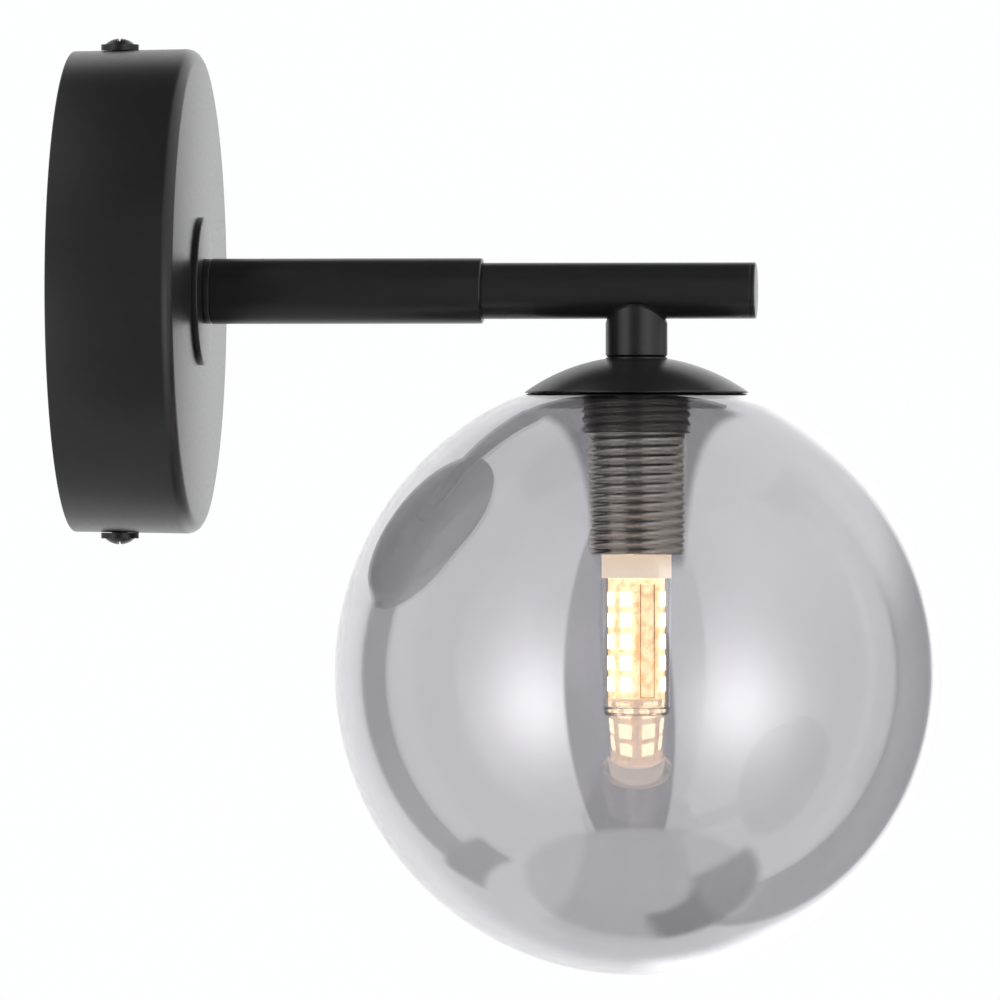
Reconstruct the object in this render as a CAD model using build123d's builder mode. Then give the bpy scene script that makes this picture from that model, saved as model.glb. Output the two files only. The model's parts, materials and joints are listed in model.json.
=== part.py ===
from build123d import *
from math import cos, floor, pi, sin, sqrt
import os

# Globe wall sconce: a round canopy on a wall bracket, a stepped arm, and a smoked glass globe
# that screws onto a long threaded lampholder under a small domed cap.
#
# Frame: the origin is the centre of the canopy's back plane on the wall, +X points out of the
# wall along the arm, +Z points up, and everything is symmetric about Y = 0. Sizes are in mm.

# --- Fits ---------------------------------------------------------------------------------
slip = 0.05  # radial clearance of a screw, nipple or bush in its hole
free = 0.3  # gap between pieces that move past each other
loose = 0.8  # gap round a piece that only has to go in

# --- Pan-head screws, in proportion to the head -------------------------------------------
head_taper = 8.0  # degrees
slot_reach = 1.4  # length of the cross recess over the head's radius
slot_breadth = 0.3  # width of the cross recess over the head's radius

# --- Canopy and its flanged screws --------------------------------------------------------
canopy_r = 60.0
canopy_taper = 0.5  # the back edge is this much smaller in radius than the front
canopy_depth = 31.2
canopy_wall = 1.2
canopy_round = 3.0
canopy_screw_x = 11.2
canopy_screw_r = 2.0
canopy_screw_length = 10.0
screw_flange_r = 4.7
screw_flange_t = 1.4
screw_head_r = 3.7
screw_head_h = 1.5
recess_length = 5.4
recess_width = 0.75
recess_depth = 1.3

# --- Wall bracket -------------------------------------------------------------------------
strap_t = 1.5
strap_width = 18.0
strap_bend = 2.5
ear_foot = 1.0  # straight run between the strap's end and the bend of each ear
ear_length = 17.0
ear_nut_flats = 7.0
ear_nut_t = 3.2
cable_hole_r = 5.25
slot_z = 35.0
slot_length = 14.0
slot_width = 4.8

# --- Terminal block -----------------------------------------------------------------------
block_z = -19.0
block_height = 17.0
block_depth = 14.0
pole_pitch = 8.0
pole_count = 3
insert_r = 2.5
insert_bore_r = 1.7
insert_length = 15.0
clamp_screw_z = 4.2
clamp_screw_r = 1.5
block_edge = 1.0
block_screw_r = 1.5
block_screw_head_r = 2.7
block_screw_head_h = 1.8

# --- Earth connection on the bracket ------------------------------------------------------
earth_z = 18.0
earth_screw_r = 2.0
earth_head_r = 3.8
earth_head_h = 2.4
tag_r = 4.2
tag_t = 0.8
tag_barrel_r = 1.6
tag_barrel_length = 6.0

# --- Leads --------------------------------------------------------------------------------
lead_r = 1.1
lead_gap = 1.25  # each lead's distance from the arm's axis
lead_bends = [9.0, 20.0, 14.0, 1.6, 1.6]  # from the block, through the arm, down into the stem
lead_entry = 2.0  # how far inside the nipple the leads are straight
lead_spread_gap = 0.4  # below the plate, where the leads part towards the contacts
lead_end_run = 1.6  # the straight end above each contact's tail
earth_run = 6.0  # the straight ends of the earth lead, and its bends

# --- Arm ----------------------------------------------------------------------------------
nipple_r = 5.0
nipple_bore_r = 3.75
nipple_grip = 12.0  # how far the nipple goes into the arm's bush
nipple_tail = 4.0  # how far it stands out behind its nut
nut_flats = 14.0
nut_t = 3.0
lock_washer_r = 8.5
lock_washer_t = 0.8
flange_r = 18.3
flange_t = 1.4
flange_edge = 0.3
collar_t = 1.6
sleeve_r = 8.1
sleeve_length = 67.3
sleeve_edge = 0.5
tube_r = 6.95
tube_wall = 1.0
tube_end_x = 169.2
end_cap_t = 1.2
end_cap_plug = 5.0
end_cap_edge = 0.4

# --- Stem and domed cap -------------------------------------------------------------------
head_x = 139.6
stem_r = 7.65
stem_crown_r = 9.3  # the saddle's arch, seen from the side of the arm
stem_crown_z = -3.35
stem_bottom_z = -16.45
stem_edge = 0.6
stem_bead = 0.7
head_nipple_rise = 7.4  # how far the head's nipple goes up into the stem
cap_sphere_r = 47.4
cap_apex_rise = 0.3  # the sphere's apex above the flat seat pressed into it
cap_seat_r = 7.6
cap_rim_r = 27.5
cap_rim_edge = 0.35
cap_bevel = 2.0  # the width over which the rim is thinned on its inside
cap_wall = 1.0

# --- Threaded lampholder ------------------------------------------------------------------
thread_r = 12.35
thread_depth = 0.6
thread_pitch = 2.3
thread_steps = 12  # sections in one turn of a thread
shell_turns = 20
shell_wall = 0.6  # at the root of the thread
shell_plate_t = 3.0
insulator_gap = 0.25
insulator_drop = 5.0  # from the shell's plate down to the insulator's top
insulator_recess = 2.5  # from the shell's mouth up to the insulator's face
post_x = 7.4
post_r = 2.9
holder_screw_r = 1.5
holder_screw_head_r = 2.7
holder_screw_head_h = 1.9
pin_spacing = 9.0
contact_width = 5.0
contact_t = 0.35
contact_depth = 15.0
contact_tail_r = 0.8
contact_tail_rise = 1.0  # how far the tail stands above the insulator
contact_pocket_w = 3.4

# --- Globe and its neck ring --------------------------------------------------------------
globe_r = 74.5
globe_wall = 2.0
shoulder_r = 36.0  # where the flattened shoulder leaves the sphere
lip_r = 15.5
neck_wall = 0.9
neck_edge = 0.1  # how far the neck's root stands out beyond its thread, to meet the lip
neck_length = 11.5
neck_gap = 0.35  # radial gap between the lampholder's thread and the neck's
neck_ring_width = 2.6

# --- Bulb ---------------------------------------------------------------------------------
bulb_gap = 0.3  # between the insulator's face and the bulb's base
base_r = 8.6
base_length = 8.0
base_edge = 0.5
spigot_r = 5.2
spigot_length = 3.0
pin_t = 0.8
pin_width = 2.6
pin_length = 9.7
pin_root = 2.0
cover_length = 34.0
cover_end_r = 8.2
cover_wall = 0.7
cover_end_t = 1.9
cover_round = 1.5
core_apothem = 6.5
core_wall = 0.9
core_length = 29.8
core_sides = 8
seam_angle = -62.0  # direction of the face that carries no chips
chip_width = 2.8
chip_height = 3.5
chip_t = 0.6
chip_rows = 5
chip_pitch = 5.25
chip_first = 5.1  # from the cover's top edge to the first row's middle
board_width = 8.6
board_t = 1.0
board_length = 21.0
board_seat = 2.0
capacitor_r = 2.2
capacitor_length = 9.0
capacitor_drop = 4.0  # from the spigot's end to the capacitor

# --- Places that follow from the sizes above ----------------------------------------------
arm_plane = Plane.YZ
head_plane = Plane((head_x, 0, 0))
head_section = Plane((head_x, 0, 0), x_dir=(1, 0, 0), z_dir=(0, -1, 0))
head_axis = Axis((head_x, 0, 0), (0, 0, 1))

canopy_back_r = canopy_r - canopy_taper
canopy_face_x = canopy_depth - canopy_wall  # the front wall's inner face


def canopy_outer_r(x):
    """The canopy's outer radius at a distance x from the wall."""
    return canopy_back_r + canopy_taper * x / canopy_depth


ear_z = sqrt((canopy_back_r - canopy_wall) ** 2 - (strap_width / 2) ** 2) - loose / 2
strap_end_z = ear_z - strap_bend - ear_foot
screw_seat_z = canopy_outer_r(canopy_screw_x + screw_flange_r)
nipple_start_x = canopy_face_x - lock_washer_t - nut_t - nipple_tail
flange_x = canopy_depth
collar_x = flange_x + flange_t
sleeve_x = collar_x + collar_t
nipple_end_x = sleeve_x + nipple_grip
tube_start_x = nipple_end_x
tube_bore_r = tube_r - tube_wall
sleeve_bore_r = tube_r + 2 * slip

cap_sphere_z = stem_bottom_z + cap_apex_rise - cap_sphere_r


def cap_top(r):
    """Height of the cap's outer surface at radius r from the head's axis."""
    return cap_sphere_z + sqrt(cap_sphere_r**2 - r**2)


def cap_under(r):
    """Height of the cap's inner surface at radius r from the head's axis."""
    return cap_sphere_z + sqrt((cap_sphere_r - cap_wall) ** 2 - r**2)


cap_seat_under_z = stem_bottom_z - cap_wall
shell_top_z = cap_under(thread_r) - free
shell_bottom_z = shell_top_z - shell_turns * thread_pitch
shell_plate_z = shell_top_z - shell_plate_t
thread_mid_r = thread_r - thread_depth / 2
shell_bore_r = thread_r - thread_depth - shell_wall
insulator_r = shell_bore_r - insulator_gap
insulator_top_z = shell_plate_z - insulator_drop
insulator_face_z = shell_bottom_z + insulator_recess

# The globe's shoulder is an arc that leaves the sphere at shoulder_r and runs level at lip_r.
shoulder_arc_r = (shoulder_r - lip_r) * globe_r / shoulder_r
shoulder_rise = sqrt(globe_r**2 - shoulder_r**2) / globe_r
shoulder_offset = (globe_r - shoulder_arc_r) * shoulder_rise
rim_to_globe = shoulder_offset + sqrt(shoulder_arc_r**2 - (cap_rim_r - lip_r) ** 2)
globe_z = cap_top(cap_rim_r) - cap_rim_edge - free - rim_to_globe
shoulder_z = globe_z + shoulder_offset
lip_z = shoulder_z + shoulder_arc_r
neck_mid_r = thread_mid_r + neck_gap
neck_turns_up = round((lip_z - neck_length - shell_bottom_z) / thread_pitch)
neck_bottom_z = shell_bottom_z + neck_turns_up * thread_pitch
neck_turns = floor((lip_z - neck_bottom_z) / thread_pitch * thread_steps) / thread_steps

base_top_z = insulator_face_z - bulb_gap
base_bottom_z = base_top_z - base_length
cover_bottom_z = base_bottom_z - cover_length
spigot_end_z = base_bottom_z - spigot_length
pin_y = pin_spacing / 2


# --- Shapes that several pieces share -----------------------------------------------------
def tube(plane, start, length, outer_r, inner_r):
    """A straight tube, washer or nipple along a plane's normal."""
    with BuildPart() as piece:
        with BuildSketch(plane.offset(start)):
            Circle(outer_r)
            Circle(inner_r, mode=Mode.SUBTRACT)
        extrude(amount=length)
    return piece


def hex_nut(plane, start, thickness, flats, bore_r):
    """A hexagon nut along a plane's normal, with its corners left sharp."""
    with BuildPart() as piece:
        with BuildSketch(plane.offset(start)):
            RegularPolygon(flats / 2, 6, major_radius=False)
            Circle(bore_r, mode=Mode.SUBTRACT)
        extrude(amount=thickness)
    return piece


def screw(seat, head_r, head_h, shank_r, length):
    """A pan-head screw whose head sits on the seat plane and whose shank goes below it."""
    with BuildPart() as piece:
        with BuildSketch(seat):
            Circle(shank_r)
        extrude(amount=-length)
        with BuildSketch(seat):
            Circle(head_r)
        extrude(amount=head_h, taper=head_taper)
        with BuildSketch(seat.offset(head_h)):
            Rectangle(head_r * slot_reach, head_r * slot_breadth)
            Rectangle(head_r * slot_breadth, head_r * slot_reach)
        extrude(amount=-head_h / 2, mode=Mode.SUBTRACT)
    return piece


def lead(points, bends):
    """An insulated lead along straight runs joined by arcs of the given radii."""
    with BuildPart() as piece:
        with BuildLine():
            route = FilletPolyline(*points, radius=bends)
        with BuildSketch(Plane(origin=route @ 0, z_dir=route % 0)):
            Circle(lead_r)
        sweep()
    print(f"lead: {route.length:.1f} mm long, bends of {bends} mm")
    return piece


def threaded_rod(mid_r, bottom_z, turns):
    """A rounded right-hand thread round the head's axis: a circle whose centre climbs a helix."""
    with BuildPart(mode=Mode.PRIVATE) as rod:
        for step in range(round(turns * thread_steps) + 1):
            turn = step / thread_steps
            centre_x = head_x + thread_depth / 2 * cos(2 * pi * turn)
            centre_y = thread_depth / 2 * sin(2 * pi * turn)
            with BuildSketch(Plane((centre_x, centre_y, bottom_z + turn * thread_pitch))):
                Circle(mid_r)
        loft(ruled=True)
    return rod.part


# --- Wall side ----------------------------------------------------------------------------
with BuildPart() as wall_bracket:
    with BuildSketch(Plane.YZ):
        Rectangle(strap_width, 2 * strap_end_z)
        Circle(cable_hole_r, mode=Mode.SUBTRACT)
        with Locations((0, slot_z), (0, -slot_z)):
            SlotOverall(slot_length, slot_width, rotation=90, mode=Mode.SUBTRACT)
        with Locations((0, earth_z)):
            Circle(earth_screw_r + slip, mode=Mode.SUBTRACT)
        with Locations((pole_pitch / 2, block_z)):
            Circle(block_screw_r + slip, mode=Mode.SUBTRACT)
    extrude(amount=strap_t)

with BuildPart() as bracket_ears:
    for side in (1, -1):
        with BuildSketch(Plane.XZ):
            with BuildLine():
                FilletPolyline(
                    (ear_length, side * ear_z), (0, side * ear_z), (0, side * strap_end_z), radius=strap_bend
                )
                offset(amount=strap_t, side=Side.LEFT if side > 0 else Side.RIGHT)
            make_face()
        extrude(amount=strap_width / 2, both=True)
    with BuildSketch(Plane.XY):
        with Locations((canopy_screw_x, 0)):
            Circle(canopy_screw_r + slip)
    extrude(amount=ear_z, both=True, mode=Mode.SUBTRACT)

with BuildPart() as ear_nuts:
    for side in (1, -1):
        seat = Plane((canopy_screw_x, 0, side * (ear_z - strap_t)), z_dir=(0, 0, -side))
        with BuildSketch(seat):
            RegularPolygon(ear_nut_flats / 2, 6, major_radius=False)
            Circle(canopy_screw_r + slip, mode=Mode.SUBTRACT)
        extrude(amount=ear_nut_t)

with BuildPart() as canopy:
    with BuildSketch(Plane.XZ):
        with BuildLine():
            FilletPolyline(
                (0, canopy_back_r),
                (canopy_depth, canopy_r),
                (canopy_depth, nipple_r + slip),
                radius=canopy_round,
            )
            offset(amount=canopy_wall, side=Side.RIGHT)
        make_face()
    revolve(axis=Axis.X)
    with BuildSketch(Plane.XY):
        with Locations((canopy_screw_x, 0)):
            Circle(canopy_screw_r + free)
    extrude(amount=canopy_r, both=True, mode=Mode.SUBTRACT)

with BuildPart() as canopy_screws:
    for side in (1, -1):
        seat = Plane((canopy_screw_x, 0, side * screw_seat_z), z_dir=(0, 0, side))
        with BuildSketch(seat):
            Circle(canopy_screw_r)
        extrude(amount=-canopy_screw_length)
        with BuildSketch(seat):
            Circle(screw_flange_r)
        extrude(amount=screw_flange_t)
        section = Plane(seat.origin, x_dir=(1, 0, 0), z_dir=(0, -side, 0))
        with BuildSketch(section):
            with BuildLine():
                crown = ThreePointArc(
                    (-screw_head_r, screw_flange_t),
                    (0, screw_flange_t + screw_head_h),
                    (screw_head_r, screw_flange_t),
                )
                Line(crown @ 1, crown @ 0)
            make_face()
            with Locations((-screw_head_r, screw_flange_t)):
                Rectangle(
                    screw_head_r, 2 * screw_head_h, align=(Align.MIN, Align.CENTER), mode=Mode.SUBTRACT
                )
        revolve(axis=Axis(seat.origin, (0, 0, 1)))
        with BuildSketch(seat.offset(screw_flange_t + screw_head_h)):
            Rectangle(recess_length, recess_width)
            Rectangle(recess_width, recess_length)
        extrude(amount=-recess_depth, mode=Mode.SUBTRACT)

# --- Terminal block and earth connection --------------------------------------------------
pole_ys = [(i - (pole_count - 1) / 2) * pole_pitch for i in range(pole_count)]
pole_x = strap_t + block_depth / 2
block_front_x = strap_t + block_depth
clamp_places = [(y, block_z + side * clamp_screw_z) for y in pole_ys for side in (1, -1)]

with BuildPart() as terminal_block:
    with BuildSketch(arm_plane.offset(strap_t)):
        with Locations((0, block_z)):
            RectangleRounded(pole_count * pole_pitch, block_height, radius=block_edge)
    extrude(amount=block_depth)
    with BuildSketch(Plane.XY.offset(block_z)):
        with Locations(*[(pole_x, y) for y in pole_ys]):
            Circle(insert_r + slip)
    extrude(amount=block_height, both=True, mode=Mode.SUBTRACT)
    with BuildSketch(arm_plane.offset(block_front_x)):
        with Locations(*clamp_places):
            Circle(clamp_screw_r + free)
    extrude(amount=-block_depth / 2, mode=Mode.SUBTRACT)
    with BuildSketch(arm_plane.offset(block_front_x)):
        with Locations((pole_pitch / 2, block_z)):
            Circle(block_screw_r + slip)
    extrude(amount=-block_depth, mode=Mode.SUBTRACT)

with BuildPart() as terminal_inserts:
    for y in pole_ys:
        with BuildSketch(Plane((pole_x, y, block_z - insert_length / 2))):
            Circle(insert_r)
            Circle(insert_bore_r, mode=Mode.SUBTRACT)
        extrude(amount=insert_length)
    with BuildSketch(arm_plane.offset(pole_x)):
        with Locations(*clamp_places):
            Circle(clamp_screw_r + slip)
    extrude(amount=block_depth, mode=Mode.SUBTRACT)

with BuildPart() as terminal_screws:
    with BuildSketch(arm_plane.offset(pole_x + insert_bore_r)):
        with Locations(*clamp_places):
            Circle(clamp_screw_r)
    extrude(amount=block_depth / 2 - insert_bore_r - loose)

block_screw = screw(
    Plane((block_front_x, pole_pitch / 2, block_z), z_dir=(1, 0, 0)),
    block_screw_head_r,
    block_screw_head_h,
    block_screw_r,
    block_depth + strap_t,
)

tag_front_x = strap_t + tag_t
tag_barrel_top_z = earth_z - earth_head_r - slip
tag_barrel_x = strap_t + tag_barrel_r
with BuildPart() as earth_tag:
    with BuildSketch(arm_plane.offset(strap_t)):
        with Locations((0, earth_z)):
            Circle(tag_r)
            Circle(earth_screw_r + slip, mode=Mode.SUBTRACT)
    extrude(amount=tag_t)
    with BuildSketch(Plane((tag_barrel_x, 0, tag_barrel_top_z))):
        Circle(tag_barrel_r)
    extrude(amount=-tag_barrel_length)

earth_screw = screw(
    Plane((tag_front_x, 0, earth_z), z_dir=(1, 0, 0)),
    earth_head_r,
    earth_head_h,
    earth_screw_r,
    tag_t + strap_t,
)

# --- Arm ----------------------------------------------------------------------------------
arm_nipple = tube(
    arm_plane, nipple_start_x, nipple_end_x - nipple_start_x, nipple_r, nipple_bore_r
)
lock_washer = tube(
    arm_plane, canopy_face_x - lock_washer_t, lock_washer_t, lock_washer_r, nipple_r + slip
)
nipple_nut = hex_nut(
    arm_plane, canopy_face_x - lock_washer_t - nut_t, nut_t, nut_flats, nipple_r + slip
)

with BuildPart() as arm_flange:
    with BuildSketch(arm_plane.offset(flange_x)):
        Circle(flange_r)
        Circle(nipple_r + slip, mode=Mode.SUBTRACT)
    extrude(amount=flange_t)
    chamfer(arm_flange.edges().group_by(Axis.X)[-1].sort_by(SortBy.RADIUS)[-1], flange_edge)

arm_collar = tube(arm_plane, collar_x, collar_t, sleeve_r - slip, nipple_r + slip)
arm_bush = tube(arm_plane, sleeve_x, nipple_grip, sleeve_bore_r - slip, nipple_r + slip)

with BuildPart() as arm_sleeve:
    with BuildSketch(arm_plane.offset(sleeve_x)):
        Circle(sleeve_r)
        Circle(sleeve_bore_r, mode=Mode.SUBTRACT)
    extrude(amount=sleeve_length)
    chamfer(arm_sleeve.edges().group_by(Axis.X)[-1].sort_by(SortBy.RADIUS)[-1], sleeve_edge)

with BuildPart() as arm_tube:
    with BuildSketch(arm_plane.offset(tube_start_x)):
        Circle(tube_r)
        Circle(tube_bore_r, mode=Mode.SUBTRACT)
    extrude(amount=tube_end_x - end_cap_t - tube_start_x)
    with BuildSketch(head_plane):
        Circle(nipple_r + slip)
    extrude(amount=-2 * tube_r, mode=Mode.SUBTRACT)

with BuildPart() as arm_end_cap:
    with BuildSketch(arm_plane.offset(tube_end_x)):
        Circle(tube_r)
    extrude(amount=-end_cap_t)
    fillet(arm_end_cap.edges().group_by(Axis.X)[-1], end_cap_edge)
    with BuildSketch(arm_plane.offset(tube_end_x - end_cap_t)):
        Circle(tube_bore_r - slip)
    extrude(amount=-end_cap_plug)

# --- Stem and domed cap -------------------------------------------------------------------
with BuildPart() as stem:
    with BuildSketch(head_plane.offset(stem_bottom_z)):
        Circle(stem_r)
    extrude(amount=-stem_bottom_z)
    with BuildSketch(head_section):
        with Locations((0, stem_crown_z - stem_crown_r)):
            Circle(stem_crown_r)
        with Locations((0, stem_crown_z - stem_crown_r)):
            Rectangle(2 * stem_crown_r, 2 * stem_crown_r, align=(Align.CENTER, Align.MAX))
    extrude(amount=stem_r, both=True, mode=Mode.INTERSECT)
    chamfer(stem.faces().sort_by(Axis.Z)[-1].edges(), stem_bead)
    chamfer(stem.edges().group_by(Axis.Z)[0], stem_edge)
    with BuildSketch(arm_plane.offset(head_x - 2 * stem_r)):
        Circle(tube_r)
    extrude(amount=4 * stem_r, mode=Mode.SUBTRACT)
    with BuildSketch(head_plane.offset(stem_bottom_z)):
        Circle(nipple_r + slip)
    extrude(amount=-stem_bottom_z, mode=Mode.SUBTRACT)

with BuildPart() as shade_cap:
    bevel_r = cap_rim_r - cap_bevel
    inner_seat_r = cap_seat_r + cap_wall
    with BuildSketch(head_section):
        with BuildLine():
            Polyline(
                (cap_seat_r, cap_top(cap_seat_r)),
                (cap_seat_r, stem_bottom_z),
                (nipple_r + slip, stem_bottom_z),
                (nipple_r + slip, cap_seat_under_z),
                (inner_seat_r, cap_seat_under_z),
                (inner_seat_r, cap_under(inner_seat_r)),
            )
            mid_r = (inner_seat_r + bevel_r) / 2
            ThreePointArc(
                (inner_seat_r, cap_under(inner_seat_r)),
                (mid_r, cap_under(mid_r)),
                (bevel_r, cap_under(bevel_r)),
            )
            Polyline(
                (bevel_r, cap_under(bevel_r)),
                (cap_rim_r, cap_top(cap_rim_r) - cap_rim_edge),
                (cap_rim_r, cap_top(cap_rim_r)),
            )
            mid_r = (cap_seat_r + cap_rim_r) / 2
            ThreePointArc(
                (cap_rim_r, cap_top(cap_rim_r)),
                (mid_r, cap_top(mid_r)),
                (cap_seat_r, cap_top(cap_seat_r)),
            )
        make_face()
    revolve(axis=head_axis)

head_nipple_top_z = stem_bottom_z + head_nipple_rise
head_nipple = tube(
    head_plane, shell_plate_z, head_nipple_top_z - shell_plate_z, nipple_r, nipple_bore_r
)
cap_washer = tube(
    head_plane, shell_top_z, cap_seat_under_z - shell_top_z, cap_seat_r, nipple_r + slip
)

# --- Threaded lampholder ------------------------------------------------------------------
post_places = [(post_x, 0), (-post_x, 0)]
with BuildPart() as lampholder_shell:
    add(threaded_rod(thread_mid_r, shell_bottom_z, shell_turns))
    with BuildSketch(head_plane.offset(shell_bottom_z)):
        Circle(shell_bore_r)
    extrude(amount=shell_plate_z - shell_bottom_z, mode=Mode.SUBTRACT)
    with BuildSketch(head_plane.offset(shell_plate_z)):
        Circle(nipple_r + slip)
        with Locations(*post_places):
            Circle(holder_screw_r + slip)
    extrude(amount=shell_plate_t, mode=Mode.SUBTRACT)

pocket_top_z = insulator_face_z + contact_depth + contact_t + insulator_gap
pocket_places = [(0, pin_y), (0, -pin_y)]
with BuildPart() as lampholder_insulator:
    with BuildSketch(head_plane.offset(insulator_face_z)):
        Circle(insulator_r)
    extrude(amount=insulator_top_z - insulator_face_z)
    with BuildSketch(head_plane.offset(insulator_top_z)):
        with Locations(*post_places):
            Circle(post_r)
    extrude(amount=insulator_drop)
    with BuildSketch(head_plane.offset(insulator_face_z)):
        with Locations(*post_places):
            Circle(holder_screw_r + slip)
    extrude(amount=shell_plate_z - insulator_face_z, mode=Mode.SUBTRACT)
    with BuildSketch(head_plane.offset(insulator_face_z)):
        with Locations(*post_places):
            Circle(holder_screw_head_r + insulator_gap)
    extrude(amount=holder_screw_head_h + insulator_gap, mode=Mode.SUBTRACT)
    with BuildSketch(head_plane.offset(insulator_face_z)):
        with Locations(*pocket_places):
            Rectangle(contact_width + 2 * insulator_gap, contact_pocket_w)
    extrude(amount=pocket_top_z - insulator_face_z, mode=Mode.SUBTRACT)
    with BuildSketch(head_plane.offset(pocket_top_z)):
        with Locations(*pocket_places):
            Circle(contact_tail_r + slip)
    extrude(amount=insulator_top_z - pocket_top_z, mode=Mode.SUBTRACT)

contact_gap = pin_t + 2 * free
lead_end_z = insulator_top_z + contact_tail_rise
with BuildPart() as lampholder_contacts:
    for y in (pin_y, -pin_y):
        with BuildSketch(Plane((head_x, y, pocket_top_z))):
            Rectangle(contact_width, contact_gap + 2 * contact_t)
        extrude(amount=-contact_depth)
        with BuildSketch(Plane((head_x, y, pocket_top_z - contact_t))):
            Rectangle(contact_width, contact_gap)
        extrude(amount=-contact_depth, mode=Mode.SUBTRACT)
        with BuildSketch(Plane((head_x, y, pocket_top_z))):
            Circle(contact_tail_r)
        extrude(amount=lead_end_z - pocket_top_z)

holder_screw_seat_z = insulator_face_z + holder_screw_head_h + insulator_gap
with BuildPart() as holder_screws:
    for x in (post_x, -post_x):
        fastener = screw(
            Plane((head_x + x, 0, holder_screw_seat_z), z_dir=(0, 0, -1)),
            holder_screw_head_r,
            holder_screw_head_h,
            holder_screw_r,
            shell_top_z - holder_screw_seat_z,
        )
        add(fastener.part)

# --- Leads --------------------------------------------------------------------------------
block_top_z = block_z + insert_length / 2
lead_spread_z = shell_plate_z - lead_spread_gap


def lamp_lead(side, pole_y):
    """The lead from a terminal pole through the arm and the stem to a lampholder contact."""
    return lead(
        [
            (pole_x, pole_y, block_top_z),
            (pole_x, pole_y, 0),
            (nipple_start_x + lead_entry, side * lead_gap, 0),
            (head_x, side * lead_gap, 0),
            (head_x, side * lead_gap, lead_spread_z),
            (head_x, side * pin_y, lead_end_z + lead_end_run),
            (head_x, side * pin_y, lead_end_z),
        ],
        lead_bends,
    )


live_wire = lamp_lead(-1, pole_ys[0])
neutral_wire = lamp_lead(1, pole_ys[-1])
tag_barrel_end_z = tag_barrel_top_z - tag_barrel_length
earth_wire = lead(
    [
        (pole_x, 0, block_top_z),
        (pole_x, 0, block_top_z + earth_run),
        (tag_barrel_x, 0, tag_barrel_end_z - earth_run),
        (tag_barrel_x, 0, tag_barrel_end_z),
    ],
    [earth_run, earth_run],
)

# --- Globe and its neck ring --------------------------------------------------------------
inner_globe_r = globe_r - globe_wall
inner_arc_r = shoulder_arc_r - globe_wall
inner_shoulder_r = shoulder_r * inner_globe_r / globe_r
lip_bore_r = neck_mid_r + neck_wall + thread_depth / 2 + neck_edge
ring_bore_r = thread_r + free + slip


def shoulder_point(arc_r, r):
    """A point of the shoulder at radius r from the head's axis, on an arc of radius arc_r."""
    return (r, shoulder_z + sqrt(arc_r**2 - (r - lip_r) ** 2))


with BuildPart() as globe_glass:
    with BuildSketch(head_section):
        with BuildLine():
            outer_start = shoulder_point(shoulder_arc_r, shoulder_r)
            inner_start = shoulder_point(inner_arc_r, inner_shoulder_r)
            ThreePointArc(
                (lip_r, lip_z),
                shoulder_point(shoulder_arc_r, (lip_r + shoulder_r) / 2),
                outer_start,
            )
            ThreePointArc(outer_start, (globe_r, globe_z), (0, globe_z - globe_r))
            Line((0, globe_z - globe_r), (0, globe_z - inner_globe_r))
            ThreePointArc((0, globe_z - inner_globe_r), (inner_globe_r, globe_z), inner_start)
            ThreePointArc(
                inner_start,
                shoulder_point(inner_arc_r, (lip_r + inner_shoulder_r) / 2),
                (lip_r, lip_z - globe_wall),
            )
            Polyline(
                (lip_r, lip_z - globe_wall),
                (lip_bore_r, lip_z - globe_wall),
                (lip_bore_r, lip_z),
                (lip_r, lip_z),
            )
        make_face()
    revolve(axis=head_axis)

with BuildPart() as globe_neck:
    with BuildSketch(head_plane.offset(lip_z - globe_wall)):
        Circle(lip_bore_r)
    extrude(amount=globe_wall)
    add(threaded_rod(neck_mid_r + neck_wall, neck_bottom_z, neck_turns))
    add(threaded_rod(neck_mid_r, neck_bottom_z, neck_turns + 1), mode=Mode.SUBTRACT)

with BuildPart() as neck_ring:
    ring_outer_r = ring_bore_r + neck_ring_width
    ring_mid_r = ring_bore_r + neck_ring_width / 2
    with BuildSketch(head_section):
        with BuildLine():
            ThreePointArc(
                (ring_outer_r, cap_under(ring_outer_r) - free),
                (ring_mid_r, cap_under(ring_mid_r) - free),
                (ring_bore_r, cap_under(ring_bore_r) - free),
            )
            Polyline(
                (ring_bore_r, cap_under(ring_bore_r) - free),
                (ring_bore_r, lip_z + slip),
                (ring_outer_r, lip_z + slip),
                (ring_outer_r, cap_under(ring_outer_r) - free),
            )
        make_face()
    revolve(axis=head_axis)

# --- Bulb ---------------------------------------------------------------------------------
with BuildPart() as bulb_base:
    with BuildSketch(head_plane.offset(base_bottom_z)):
        Circle(base_r)
    extrude(amount=base_length)
    chamfer(bulb_base.edges().group_by(Axis.Z)[-1], base_edge)
    with BuildSketch(head_plane.offset(base_bottom_z)):
        Circle(spigot_r)
    extrude(amount=-spigot_length)
    with BuildSketch(head_plane.offset(spigot_end_z)):
        Rectangle(board_width + 2 * slip, board_t + 2 * slip)
    extrude(amount=board_seat, mode=Mode.SUBTRACT)
    with BuildSketch(head_plane.offset(base_top_z)):
        with Locations((0, pin_y), (0, -pin_y)):
            Rectangle(pin_width + 2 * slip, pin_t + 2 * slip)
    extrude(amount=-pin_root, mode=Mode.SUBTRACT)

with BuildPart() as bulb_pins:
    with BuildSketch(head_plane.offset(base_top_z - pin_root)):
        with Locations((0, pin_y), (0, -pin_y)):
            Rectangle(pin_width, pin_t)
    extrude(amount=pin_root + pin_length)

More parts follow.
